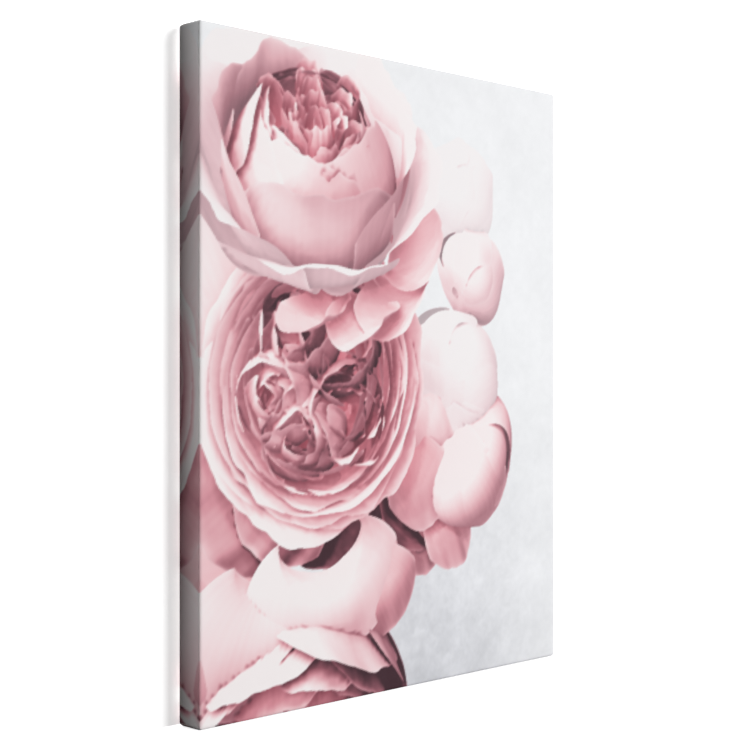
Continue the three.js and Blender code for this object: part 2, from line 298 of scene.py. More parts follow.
def cup_bloom(bunch):
    """The top flower: a deep cup seen from its side, open towards the top."""
    rng = np.random.default_rng(5)
    axis = unit((0.05, 0.74, 0.67))
    centre = np.array([-93, 112, 12])
    bunch.whorl(
        rng, 6, 0.2, 166, 96, (0, 74), centre=centre - 8 * axis, axis=axis, curl=46, base=14,
        flat=1.4, ruffle=7, depth=0.12, tip=0.25, spread=18, jitter=0.3, frill=0.04, haze=0.45,
        tone=0.1,
    )
    bunch.whorl(
        rng, 5, 0.9, 158, 90, (0, 94), centre=centre, axis=axis, curl=30, base=18, flat=1.25,
        ruffle=5, depth=0.18, tip=0.25, spread=14, jitter=0.3, frill=0.04, haze=0.15, tone=0.1,
    )
    for k in range(4):
        bunch.whorl(
            rng, 5, 0.6 + 0.7 * k, 166 - 7 * k, 84 - 5 * k, (0, 121 - 2 * k),
            centre=centre + 3 * k * axis, axis=axis, base=22 - 2 * k, flat=1.05, frill=0.03,
            ruffle=1.8, depth=0.12 + 0.1 * k, tip=0.28, tone=0.04,
        )
    first, second = sides_of(axis)
    for sector in range(6):
        angle = 0.2 + 2 * math.pi * (sector + rng.uniform(-0.12, 0.12)) / 6
        out = math.cos(angle) * first + math.sin(angle) * second
        for j in range(6):
            bunch.petal(
                rng, centre + 62 * axis + out * (4 + 8 * j) + rng.uniform(-3, 3, 3),
                axis + 0.05 * out + rng.uniform(-0.1, 0.1, 3), angle + rng.uniform(-0.25, 0.25),
                rng.uniform(48, 62), 14 + 3.5 * j, lift=(60, 92), curl=rng.uniform(-10, 20),
                base=2, tip=0.35, notch=0.06, frill=0.05, ruffle=rng.uniform(1.5, 4), folds=3,
                depth=0.95 - 0.04 * j, tone=0.09,
            )
    for root, way, length, width, depth in [
        ((-40, 70, 66), (0.75, -0.1, 0.3), 92, 52, 0.15),
        ((-66, 60, 74), (0.5, -0.3, 0.3), 84, 46, 0.25),
        ((-104, 62, 70), (0.35, -0.42, 0.3), 62, 48, 0.3),
        ((-10, 104, 50), (0.9, 0.2, 0.1), 74, 62, 0.15),
    ]:
        bunch.laid(
            rng, root, way, (0.1, 0.75, 0.65), length, width, base=2, lift=(-28, 40), curl=-30,
            flat=1.6, frill=0.03, ruffle=4, depth=depth, tone=0.09,
        )


def hanging_bloom(bunch):
    """The bottom flower, which hangs with its back to the viewer."""
    rng = np.random.default_rng(8)
    axis = unit((0.04, -0.82, 0.44))
    centre = np.array([-106, -180, -112])
    for k, (count, start, length, width, lift, depth) in enumerate([
        (7, 0.15, 176, 84, (8, 74), 0.12),
        (7, 0.65, 166, 78, (0, 82), 0.22),
        (6, 0.30, 152, 66, (0, 92), 0.4),
        (6, 0.75, 140, 56, (0, 100), 0.7),
    ]):
        bunch.whorl(
            rng, count, start, length, width, lift, centre=centre + 6 * k * axis, axis=axis,
            curl=12 - 5 * k, base=8, flat=1.15, frill=0.025, ruffle=3, depth=depth,
            tone=-0.22 + 0.03 * k,
        )
    for root, way, length, width, depth, tone in [
        ((-184, -150, -2), (-0.5, -1, 0), 108, 80, 0.3, -0.2),
        ((-136, -154, 2), (-0.25, -1, 0), 112, 86, 0.22, -0.08),
        ((-36, -146, -4), (0.5, -1, 0), 66, 54, 0.4, -0.22),
        ((-80, -144, 8), (0.2, -1, 0), 78, 104, 0.08, 0.06),
    ]:
        bunch.laid(
            rng, root, way, (0.05, -0.1, 1), length, width, lift=(22, -34), flat=1.5, frill=0.025,
            ruffle=3, tip=0.28, notch=0.02, depth=depth, tone=tone,
        )


def closed_blooms(bunch):
    """The pale round flowers on the right, further back, and the loose petals beside them."""
    rng = np.random.default_rng(13)
    for globe in [
        ((80, 8, -60), (0.55, 0.5, -0.75), 136, 3, 124, 0.02, 0.62, 1.5),
        ((94, -78, -62), (0.5, -0.5, -0.7), 134, 3, 124, 0.34, 0.12, 2),
        ((100, 92, -84), (0.6, 0.45, -0.4), 94, 2, 120, 0.25, 0.4, 1),
        ((80, 164, -110), (0.4, 0.6, -0.3), 104, 2, 118, 0, 0.84, 1),
    ]:
        bunch.globe(rng, *globe)
    for root, way, length, width, depth in [
        ((22, -18, -20), (0.3, -1, 0.2), 66, 46, 0.25),
        ((40, -2, -24), (0.5, -1, 0.1), 80, 50, 0.2),
        ((14, -56, -18), (0.4, -1, 0), 74, 44, 0.62),
        ((40, -98, -44), (0.6, -1, 0), 72, 30, 0.6),
        ((10, -84, -54), (0.35, -1, 0), 84, 38, 0.7),
        ((-10, -90, -60), (-0.1, -1, 0), 70, 50, 0.8),
    ]:
        bunch.laid(
            rng, root, way, (-0.15, 0.1, 1), length, width, base=3, lift=(24, -36), flat=1.2,
            frill=0.025, ruffle=3, depth=depth, haze=0.1, tone=-0.75 * max(0, depth - 0.3),
        )


def bouquet():
    """All flowers, and the shaded petals between them."""
    rng = np.random.default_rng(3)
    bunch = Bouquet()
    for root, way, length, width, depth, tone in [
        ((-150, 14, -20), (-0.45, 1, 0.2), 128, 84, 0.4, 0),
        ((-120, 60, -30), (-1, 0.5, 0.2), 120, 80, 0.5, -0.05),
        ((-60, -44, -34), (-0.5, -1, 0), 104, 84, 0.5, -0.55),
        ((-104, -46, -30), (-1, -0.7, 0), 118, 74, 0.5, -0.5),
        ((-92, -60, -24), (-0.85, -1, 0), 88, 56, 0.4, -0.4),
        ((-36, -44, -38), (0.25, -1, 0), 112, 84, 0.6, -0.6),
        ((0, -50, -40), (0.8, -1, 0), 96, 60, 0.6, -0.55),
        ((-130, -160, -110), (-0.8, -1, 0), 150, 130, 0.5, -0.3),
    ]:
        bunch.laid(
            rng, root, way, (0.1, 0, 1), length, width, lift=(6, -10), flat=2, ruffle=3,
            depth=depth, tone=tone,
        )
    open_bloom(bunch)
    cup_bloom(bunch)
    hanging_bloom(bunch)
    closed_blooms(bunch)
    return bunch


def sky(count):
    """Even directions on the viewer's side, and how bright the sky is in each."""
    i = np.arange(count) + 0.5
    z = 1 - 1.05 * i / count
    flat = np.sqrt(np.clip(1 - z * z, 0, 1))
    turn = math.pi * (1 + 5**0.5) * i
    ways = np.stack([flat * np.cos(turn), flat * np.sin(turn), z], 1)
    return ways, SKY_LEAST + SKY_MOST * np.clip(ways @ unit(SKY_KEY), 0, 1) ** 3


def seen_from_front(tree, step):
    """For each point of the picture's grid, the triangle that shows and where it is."""
    xs = np.arange(step / 2, PICTURE_WIDTH, step) - PICTURE_WIDTH / 2
    ys = np.arange(step / 2, PICTURE_HEIGHT, step) - PICTURE_HEIGHT / 2
    face = np.full((len(ys), len(xs)), -1)
    place = np.zeros((len(ys), len(xs), 3))
    for j, y in enumerate(ys):
        for i, x in enumerate(xs):
            hit, _, index, _ = tree.ray_cast((x, y, FAR), (0, 0, -1))
            if index is not None:
                face[j, i] = index
                place[j, i] = hit
    return xs, ys, face, place


def lit(tree, points, normals, chosen):
    """How much of the sky reaches each chosen point openly, and how much through petals."""
    ways, bright = sky(SKY_RAYS)
    whole = np.clip(ways[:, 2], 0, None) @ bright
    light = np.zeros((len(points), 2))
    facing = normals[chosen] @ ways.T
    for row, i in enumerate(chosen):
        start = points[i] + SKY_START * normals[i]
        for k in np.nonzero(facing[row] > 0.03)[0]:
            part = facing[row, k] * bright[k] / whole
            _, _, index, distance = tree.ray_cast(start, ways[k], SKY_REACH)
            through = 1 if index is None else THROUGH * (distance / SKY_REACH) ** 1.4
            light[i] += (part * through, part * (1 - through))
    return light


# A ramp's entries are a level of light, and its red, green and blue up to 255.
PALE_PINK = [
    (0, 64, 36, 46), (0.2, 158, 102, 114), (0.42, 218, 164, 173),
    (0.62, 238, 205, 209), (0.82, 245, 229, 231), (1, 246, 241, 241),
]
DEEP_PINK = [
    (0, 58, 26, 36), (0.2, 150, 68, 82), (0.42, 210, 116, 130),
    (0.62, 233, 160, 169), (0.82, 241, 196, 200), (1, 246, 224, 226),
]
HAZE = np.array([242, 239, 240]) / 255


def ramp(stops, level):
    levels, *channels = np.array(stops).T
    return np.stack([np.interp(level, levels, channel / 255) for channel in channels], -1)


def petal_colour(light, marks):
    """Petals are deeper pink at the base and where light comes through, with a paler rim."""
    u, v, rim, depth, haze, tone, shade = marks.T
    open_light, filtered = light.T
    veins = np.sin(34 * u + 5 * np.sin(9 * u + 40 * shade)) + np.sin(61 * u + 90 * shade)
    level = 1.09 * np.clip(open_light, 0, 1.3) ** 0.95 + 0.08 * filtered
    level += 0.011 * veins * (1 - 0.6 * v) + 0.03 * shade + tone
    edge = 0.22 * np.exp(-rim / 1.4) * (1 - smooth(level)) + 0.08 * np.exp(-rim / 3) * (1 - level)
    level += edge
    pink = depth * (1.15 - 0.75 * v) + 0.35 * filtered - 0.25 * np.exp(-rim / 2)
    pink = np.clip(pink, 0, 1)[:, None]
    colour = ramp(PALE_PINK, level) * (1 - pink) + ramp(DEEP_PINK, level) * pink
    return colour * (1 - haze[:, None]) + HAZE * haze[:, None]


def plaster_colour(xs, ys, step):
    """Pale plaster, greyer and more mottled towards the lower right."""
    rng = np.random.default_rng(5)
    x, y = np.meshgrid(xs, ys)
    mottle = sum(
        weight * blotches(x.shape, cell / step, rng)
        for cell, weight in zip((90, 38, 15, 6, 2.5, 1.2), (0.35, 0.3, 0.28, 0.26, 0.24, 0.16))
    )
    low = smooth(-y / 240) * np.exp(-(((x - 30) / 130) ** 2))
    grey = 0.945 - 0.1 * low + mottle * (0.02 + 0.06 * low)
    return np.stack([grey - 0.004, grey, grey + 0.008 + 0.012 * low], -1)


def brushed(colours, reach):
    """The colours with spikes narrower than reach evened out."""
    width = 2 * reach + 1
    rows, columns = colours.shape[:2]
    padded = np.pad(colours, ((reach, reach), (reach, reach), (0, 0)), "edge").astype(np.float32)
    channels = []
    for channel in np.moveaxis(padded, -1, 0):
        near = [channel[j : j + rows, i : i + columns] for j in range(width) for i in range(width)]
        channels.append(np.median(np.stack(near), axis=0))
    return np.stack(channels, -1)


def picture(step):
    """The picture's colours on a grid of points, as sRGB, with the grid's x and y."""
    bunch = bouquet()
    points, normals = np.concatenate(bunch.points), np.concatenate(bunch.normals)
    marks, triangles = np.concatenate(bunch.marks), np.concatenate(bunch.triangles)
    tree = BVHTree.FromPolygons(points.tolist(), triangles.tolist())
    xs, ys, face, place = seen_from_front(tree, step)
    seen = face >= 0
    light = lit(tree, points, normals, np.unique(triangles[np.unique(face[seen])]))
    corners = triangles[face[seen]]
    a, b, c = (points[corners[:, i]] for i in range(3))
    across = np.cross(b - a, c - a)
    size = (across**2).sum(1) + 1e-12
    near_a = (np.cross(c - b, place[seen] - b) * across).sum(1) / size
    near_b = (np.cross(a - c, place[seen] - c) * across).sum(1) / size
    shares = np.clip(np.stack([near_a, near_b, 1 - near_a - near_b], 1), 0, 1)
    shares /= shares.sum(1, keepdims=True)
    blend = [np.einsum("ik,ikc->ic", shares, values[corners]) for values in (light, marks)]
    colours = plaster_colour(xs, ys, step)
    colours[seen] = petal_colour(*blend)
    reach = max(1, round(BRUSH / step))
    return xs, ys, brushed(np.clip(colours, 0, 1), reach)


# ==== the cloth ====
#
# The cloth is one closed skin: its outside carries the picture over the front, the sides and a
# little of the back, and its inside is bare. Rings of points follow the rounded outline from the
# front's edge over the side and in over the back.

HALF = np.array([WIDTH / 2 - CORNER_RADIUS, HEIGHT / 2 - CORNER_RADIUS])  # the front's flat part
COLUMNS = round(2 * HALF[0] / (1.25 * MM))
ROWS = round(2 * HALF[1] / MM)
FAN = 5  # steps round each corner
EDGE_STEPS = 3  # round the edge between two faces
SIDE_STEPS, INNER_SIDE_STEPS = 22, 3
LEAST_MARGIN_STEPS = 6
FOLD_STEPS = 30
FOLD_REACH = 40 * MM
FOLD_RISE = 0.75 * MM
FOLD_EDGE = 1.6 * MM  # how far in a fold's edge is rounded
SEAM_HALF = 0.9 * MM  # of the dip where the two flaps of a corner meet
FOLD_WAVE = 0.12 * MM
RIDGE = 0.45 * MM  # the folded layer under the cloth at the corners of the top and bottom
BULGE = 0.3 * MM  # of the cloth between staples
STAPLE_GRIP = 1.5 * MM  # what is nearer to a staple lies flat
SIDE_PAINTED_LIGHT_FRONT, SIDE_PAINTED_SHADE_BACK = 1.2, 0.42  # the print's strength along the side, as painted light and shade: brighter near the front, darker towards the back
STRAIGHT = 0.999  # the least part of a way along an axis, for one square to a side
SHARP = math.radians(50)


def to_linear(colour):
    return np.where(colour <= 0.04045, colour / 12.92, ((colour + 0.055) / 1.055) ** 2.4)


class Loop:
    """The points round the front's flat part, anticlockwise as seen from the front.

    Each has a base on the flat part's edge and a way to face. The points that turn round a
    corner share their base, and its number.
    """

    def __init__(self):
        columns = np.linspace(-HALF[0], HALF[0], COLUMNS + 1)
        rows = np.linspace(-HALF[1], HALF[1], ROWS + 1)
        self.grid = np.stack(np.meshgrid(columns, rows, indexing="ij"), -1)
        number = np.arange((COLUMNS + 1) * (ROWS + 1)).reshape(COLUMNS + 1, ROWS + 1)
        self.number = number
        sides = [number[:, 0], number[-1, :], number[::-1, -1], number[0, ::-1]]
        on_grid, ways = [], []
        for k, side in enumerate(sides):
            start = math.radians(90 * k - 90)
            on_grid.append(side)
            ways.append(np.repeat([[math.cos(start), math.sin(start)]], len(side), axis=0))
            turns = start + np.radians(90) * np.arange(1, FAN) / FAN
            on_grid.append(np.repeat(side[-1], FAN - 1))
            ways.append(np.stack([np.cos(turns), np.sin(turns)], -1))
        self.on_grid = np.concatenate(on_grid)
        self.way = np.concatenate(ways)
        self.base = self.grid.reshape(-1, 2)[self.on_grid]
        bases, self.base_number = np.unique(self.on_grid, return_inverse=True)
        self.unique = np.array([np.nonzero(self.on_grid == base)[0][0] for base in bases])
        self.square = np.abs(self.way) > STRAIGHT


class Skin:
    """The cloth's points and faces, with the places that its picture and its weave come from."""

    def __init__(self):
        self.points, self.faces = [], []
        self.print, self.weave, self.cover, self.ink_and_painted_light = [], [], [], []
        self.total = 0

    def add(self, points, picture_place, weave_place, cover, ink_and_painted_light=1.0):
        """Adds points. cover is 1 where the cloth is printed, and the last argument is the print's
        strength, which on the sides is painted light and shade: brighter near the front, darker
        towards the back.
        """
        self.points.append(points)
        self.print.append(picture_place)
        self.weave.append(weave_place)
        self.cover.append(np.broadcast_to(cover, len(points)))
        self.ink_and_painted_light.append(np.broadcast_to(ink_and_painted_light, len(points)))
        self.total += len(points)
        return np.arange(self.total - len(points), self.total)

    def quads(self, a, b, c, d, flip):
        corners = np.stack([a, b, c, d], -1).reshape(-1, 4)
        if flip:
            corners = corners[:, ::-1]
        for face in corners.tolist():
            face = [n for i, n in enumerate(face) if n != face[i - 1]]
            if len(face) > 2:
                self.faces.append(face)

    def between(self, first, second, flip):
        """Faces between two rings, the second further from the front's middle."""
        self.quads(first, second, np.roll(second, -1), np.roll(first, -1), flip)


def evenly(steps):
    """Even steps from just above 0 to 1."""
    return np.linspace(0, 1, steps + 1)[1:]


def profile(inset, steps):
    """The cloth's section from the front's flat part to the cut edge on the back.

    inset is how far under the outside it lies. Each entry is how far out, how far back and how
    far along the outside.
    """
    out = CORNER_RADIUS - EDGE_RADIUS
    radius = EDGE_RADIUS - inset
    quarter = EDGE_RADIUS * math.pi / 2
    entries = []
    for t in evenly(EDGE_STEPS):
        a = t * math.pi / 2
        back = EDGE_RADIUS - radius * math.cos(a)
        entries.append((out + radius * math.sin(a), back, out + t * quarter))
    flat = DEPTH - 2 * EDGE_RADIUS
    for t in evenly(steps):
        entries.append((out + radius, EDGE_RADIUS + t * flat, out + quarter + t * flat))
    for t in evenly(EDGE_STEPS):
        a = t * math.pi / 2
        back = DEPTH - EDGE_RADIUS + radius * math.sin(a)
        entries.append((out + radius * math.cos(a), back, out + (1 + t) * quarter + flat))
    _, back, along = entries[-1]
    width = MARGIN - CORNER_RADIUS + out
    for t in evenly(max(steps, LEAST_MARGIN_STEPS)):
        entries.append((out - t * width, back, along + t * width))
    return entries


def staple_lines():
    """The ends of each staple's crown, in X and Z. A corner's staple lies across its diagonal."""
    lines = []
    for name in frame["nodes"]:
        if name.startswith("staple_"):
            low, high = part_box(name)
            centre = np.array([(low.x + high.x) / 2, (low.z + high.z) / 2 - MIDDLE])
            half = np.array([high.x - low.x, high.z - low.z]) / 2
            if min(half) < 0.5 * max(half):
                half[half < 0.5 * max(half)] = 0
            else:
                half[1] *= -np.sign(centre[0] * centre[1])
            lines.append((centre - half, centre + half))
    return lines


def distance_to(lines, points):
    """How far each point is from the nearest line."""
    nearest = np.full(len(points), np.inf)
    for a, b in lines:
        along = b - a
        t = np.clip(((points - a) @ along) / (along @ along), 0, 1)
        nearest = np.minimum(nearest, np.linalg.norm(points - a - t[:, None] * along, axis=1))
    return nearest


def raised(places, y):
    """Points at y from places in X and Z."""
    return np.stack([places[..., 0], np.broadcast_to(y, places.shape[:-1]), places[..., 1]], -1)


def ring(skin, loop, entry, staples=None):
    """One ring of points at an entry of the profile. Returns its points' numbers.

    With staples it is on the outside, which is printed, ridged and pulled down by them.
    """
    out, back, along = entry
    base, way = loop.base, loop.way
    outside = staples is not None
    reach = along if along < CORNER_RADIUS else 2 * CORNER_RADIUS - along  # mirrored at the edge
    # painted light and shade: the side's print is drawn brighter near the front and darker towards
    # the back; the front's rounded edge keeps its print as it is
    share = np.clip((along - CORNER_RADIUS) / DEPTH, 0, 1)
    ink_and_painted_light = SIDE_PAINTED_LIGHT_FRONT + (SIDE_PAINTED_SHADE_BACK - SIDE_PAINTED_LIGHT_FRONT) * share
    if along < CORNER_RADIUS:
        ink_and_painted_light = 1.0
    if out > 0:
        place = base + out * way
        if outside:
            inwards = HALF[0] - np.abs(base[:, 0])
            lift = RIDGE * (np.abs(way[:, 1]) > STRAIGHT)
            lift = lift * smooth((0.97 * back / DEPTH - inwards / DEPTH) / 0.06)
            lift *= smooth((back - 0.5 * MM) / (4 * MM))
            place = place + lift[:, None] * way
        points = raised(place, FRONT + back)
        cover = 1.0 if outside else 0.0
        return skin.add(points, base + reach * way, base + along * way, cover, ink_and_painted_light)
    inset = base * (1 + out / HALF)
    printed = np.where(loop.square, base + reach * way, inset)
    woven = np.where(loop.square, base + along * way, inset)
    u = loop.unique
    place = inset[u]
    y = FRONT + back
    cover = 0.0
    if outside:
        rise = smooth((distance_to(staples, place) - STAPLE_GRIP) / (14 * MM))
        y = y + BULGE * rise * min(1, -out / (6 * MM))
        cover = 1.0 if along - CORNER_RADIUS < DEPTH + WRAP_PRINT else 0.0
    return skin.add(raised(place, y), printed[u], woven[u], cover, ink_and_painted_light)[loop.base_number]


def outer_skin(skin, loop, staples):
    """The printed outside. Returns the ring at its cut edge."""
    grid = loop.grid.reshape(-1, 2)
    skin.add(raised(grid, FRONT), grid, grid, 1.0)
    n = loop.number
    skin.quads(n[:-1, :-1], n[1:, :-1], n[1:, 1:], n[:-1, 1:], False)
    last = loop.on_grid
    for entry in profile(0, SIDE_STEPS):
        numbers = ring(skin, loop, entry, staples)
        skin.between(last, numbers, False)
        last = numbers
    return last


def inner_skin(skin, loop):
    """The bare inside. Its front is long strips from side to side, and a fan at each end."""
    base = loop.base[loop.unique]
    first = skin.add(raised(base, FRONT + CLOTH), base, base, 0.0)[loop.base_number]
    where = dict(zip(loop.on_grid.tolist(), first.tolist()))
    left = np.array([where[n] for n in loop.number[0].tolist()])
    right = np.array([where[n] for n in loop.number[-1].tolist()])
    skin.quads(left[1:-2], right[1:-2], right[2:-1], left[2:-1], True)
    ends = [(loop.number[:, 0], 1, True), (loop.number[:, -1], -2, False)]
    for row, inward, flip in ends:
        edge = [where[n] for n in row.tolist()]
        half = len(edge) // 2
        strip = [(edge[i], edge[i + 1], left[inward]) for i in range(half)]
        strip += [(edge[half], right[inward], left[inward])]
        strip += [(edge[i], edge[i + 1], right[inward]) for i in range(half, len(edge) - 1)]
        skin.faces += [list(face[::-1] if flip else face) for face in strip]
    last = first
    for entry in profile(CLOTH, INNER_SIDE_STEPS):
        numbers = ring(skin, loop, entry)
        skin.between(last, numbers, True)
        last = numbers
    return last


def corner_fold(skin, right, up, rng):
    """The folded layers at one corner of the back: two flaps that meet on the diagonal."""
    x, z = HALF
    inner = MARGIN - CORNER_RADIUS
    kite = np.array([(x, z), (x - FOLD_REACH, z), (x - inner, z - inner), (x, z - FOLD_REACH)])
    steps = np.linspace(0, 1, FOLD_STEPS + 1)
    u, v = np.meshgrid(steps, steps, indexing="ij")
    flat = np.stack([(1 - u) * (1 - v), u * (1 - v), u * v, (1 - u) * v], -1) @ kite
    flat_x, flat_z = flat[..., 0], flat[..., 1]
    rim = np.minimum(np.minimum(u, 1 - u), np.minimum(v, 1 - v)) * FOLD_REACH
    seam = np.abs((x - flat_x) - (z - flat_z)) / math.sqrt(2)
    rise = FOLD_RISE * (1 - (1 - np.clip(rim / FOLD_EDGE, 0, 1)) ** 2) ** 0.5
    rise *= 1 - 0.6 * np.exp(-((seam / SEAM_HALF) ** 2))
    rise += FOLD_WAVE * waves(40 * (u - v), rng, 1) * (u * v * (1 - u) * (1 - v)) * 16
    place = flat * (right, up)
    edge_distance = np.minimum(WIDTH / 2 - flat_x, HEIGHT / 2 - flat_z)
    cover = (edge_distance < WRAP_PRINT).astype(float).ravel()
    on_side = flat_z < flat_x + (HEIGHT - WIDTH) / 2
    print_x = np.where(on_side, WIDTH - flat_x - DEPTH, flat_x)
    print_z = np.where(on_side, flat_z, HEIGHT - flat_z - DEPTH)
    printed = (np.stack([print_x, print_z], -1) * (right, up)).reshape(-1, 2)
    layers = []
    for level in (BACK + 0.02 * MM + np.maximum(rise, 0), np.full_like(rise, BACK + 0.01 * MM)):
        points = raised(place, level).reshape(-1, 3)
        layers.append(skin.add(points, printed, place.reshape(-1, 2), cover).reshape(u.shape))
    top, bottom = layers
    flip = right * up < 0
    skin.quads(top[:-1, :-1], top[1:, :-1], top[1:, 1:], top[:-1, 1:], flip)
    skin.quads(bottom[:-1, :-1], bottom[1:, :-1], bottom[1:, 1:], bottom[:-1, 1:], not flip)
    top_rim, bottom_rim = (
        np.concatenate([n[:-1, 0], n[-1, :-1], n[:0:-1, -1], n[0, :0:-1]]) for n in layers
    )
    skin.between(top_rim, bottom_rim, flip)


def sampled(colours, xs, ys, places):
    """The picture's colour at each place, in millimetres."""
    column = np.clip((places[:, 0] - xs[0]) / (xs[1] - xs[0]), 0, len(xs) - 1.001)
    row = np.clip((places[:, 1] - ys[0]) / (ys[1] - ys[0]), 0, len(ys) - 1.001)
    i, j = column.astype(int), row.astype(int)
    u, v = (column - i)[:, None], (row - j)[:, None]
    low = colours[j, i] * (1 - u) + colours[j, i + 1] * u
    high = colours[j + 1, i] * (1 - u) + colours[j + 1, i + 1] * u
    return low * (1 - v) + high * v


def softened(colours, xs, ys, places):
    """The picture's colour about each place, so that its edges have no steps."""
    spread = 0.6 * (xs[1] - xs[0])
    shifts = [(spread, spread), (-spread, spread), (spread, -spread), (-spread, -spread)]
    return sum(sampled(colours, xs, ys, places + shift) for shift in shifts) / len(shifts)


def make_cloth():
    """The whole cloth as one object, with its picture and its flat places as attributes."""
    loop, skin = Loop(), Skin()
    outer = outer_skin(skin, loop, staple_lines())
    inner = inner_skin(skin, loop)
    skin.between(outer, inner, False)
    rng = np.random.default_rng(4)
    for right in (-1, 1):
        for up in (-1, 1):
            corner_fold(skin, right, up, rng)
    points = np.concatenate(skin.points)
    points[:, 2] += MIDDLE
    mesh = bpy.data.meshes.new("canvas_cloth")
    mesh.from_pydata(points.tolist(), [], skin.faces)
    step = PICTURE_STEP
    xs, ys, colours = picture(step)
    printed = to_linear(softened(colours, xs, ys, np.concatenate(skin.print) / MM))
    # painted light and shade: the sides' print is scaled brighter near the front and darker towards
    # the back
    printed *= np.concatenate(skin.ink_and_painted_light)[:, None]
    cover = np.concatenate(skin.cover)
    store = mesh.attributes.new("print", "FLOAT_COLOR", "POINT")
    store.data.foreach_set("color", np.column_stack([printed, cover]).astype(np.float32).ravel())
    woven = np.column_stack([np.concatenate(skin.weave), np.zeros(len(points))])
    store = mesh.attributes.new("weave", "FLOAT_VECTOR", "POINT")
    store.data.foreach_set("vector", woven.astype(np.float32).ravel())
    mesh.shade_smooth()
    mesh.set_sharp_from_angle(angle=SHARP)
    mesh.update()
    return new_object("canvas_cloth", mesh)


# ==== materials ====


class Nodes:
    """Short ways to add nodes to one material."""

    def __init__(self, name):
        self.material = bpy.data.materials.new(name)
        self.material.use_nodes = True
        self.tree = self.material.node_tree
        self.tree.nodes.clear()
        output = self.tree.nodes.new("ShaderNodeOutputMaterial")
        self.shader = self.tree.nodes.new("ShaderNodeBsdfPrincipled")
        self.tree.links.new(self.shader.outputs[0], output.inputs["Surface"])

    def connect(self, value, socket):
        if isinstance(value, bpy.types.NodeSocket):
            self.tree.links.new(value, socket)
        else:
            socket.default_value = value

    def add(self, kind, *values, **named):
        """A new node, its first sockets set or linked in order and others by name."""
        node = self.tree.nodes.new("ShaderNode" + kind)
        for socket, value in zip(node.inputs, values):
            self.connect(value, socket)
        for name, value in named.items():
            self.connect(value, node.inputs[name])
        return node

    def math(self, operation, *values):
        node = self.add("Math", *values)
        node.operation = operation
        return node.outputs[0]

    def vector(self, operation, *values):
        node = self.add("VectorMath", *values)
        node.operation = operation
        return node.outputs["Value" if operation == "LENGTH" else "Vector"]

    def attribute(self, name, output="Vector"):
        node = self.add("Attribute")
        node.attribute_name = name
        return node.outputs[output]

    def place(self):
        """Where the point is, in metres."""
        return self.add("TexCoord").outputs["Object"]

    def noise(self, vector, scale, detail, roughness=0.55):
        node = self.add("TexNoise", Vector=vector, Scale=scale, Detail=detail, Roughness=roughness)
        return node.outputs["Fac"]

    def cells(self, vector, scale):
        """How far the point is from the nearest of scattered points."""
        return self.add("TexVoronoi", Vector=vector, Scale=scale).outputs["Distance"]

    def split(self, vector):
        return self.add("SeparateXYZ", vector).outputs

    def merge(self, parts, scales):
        """A vector of three parts, each scaled."""
        scaled = [self.math("MULTIPLY", part, scale) for part, scale in zip(parts, scales)]
        return self.add("CombineXYZ", *scaled).outputs[0]

    def ramp(self, factor, stops):
        node = self.add("ValToRGB", factor)
        elements = node.color_ramp.elements
        while len(elements) < len(stops):
            elements.new(0.5)
        for element, (at, colour) in zip(elements, stops):
            element.position = at
            element.color = (*colour, 1)
        return node.outputs[0]

    def span(self, value, low, high, to_low, to_high):
        return self.add("MapRange", value, low, high, to_low, to_high).outputs[0]

    def mix(self, factor, first, second, blend="MIX"):
        node = self.add("Mix", factor)
        node.data_type = "RGBA"
        node.blend_type = blend
        self.connect(first, node.inputs[6])
        self.connect(second, node.inputs[7])
        return node.outputs[2]

    def bump(self, height, distance, strength):
        return self.add("Bump", Strength=strength, Distance=distance, Height=height).outputs[0]

    def set(self, **values):
        """Sets or links the shader's own sockets. _ in a name stands for a space."""
        for name, value in values.items():
            self.connect(value, self.shader.inputs[name.replace("_", " ")])


THREAD_PITCH = 0.55 * MM
THREAD_RISE = 0.12 * MM
COTTON = [(0.3, (0.56, 0.50, 0.40)), (0.5, (0.66, 0.61, 0.51)), (0.7, (0.74, 0.70, 0.61))]
COTTON_FLECK = (0.30, 0.22, 0.13, 1)
PINE = {"light": (0.79, 0.60, 0.37), "dark": (0.52, 0.31, 0.13), "ring_width": 2.6 * MM}
BEECH = {
    "light": (0.66, 0.44, 0.28), "dark": (0.46, 0.26, 0.14), "ring_width": 1.7 * MM, "fleck": 0.8,
}
FIBRE_RISE = 0.15 * MM
SCRATCH_RISE = 0.05 * MM


def grey(level):
    return (level, level, level, 1)


def faded(colour, share):
    return tuple(min(1, share * part) for part in colour)


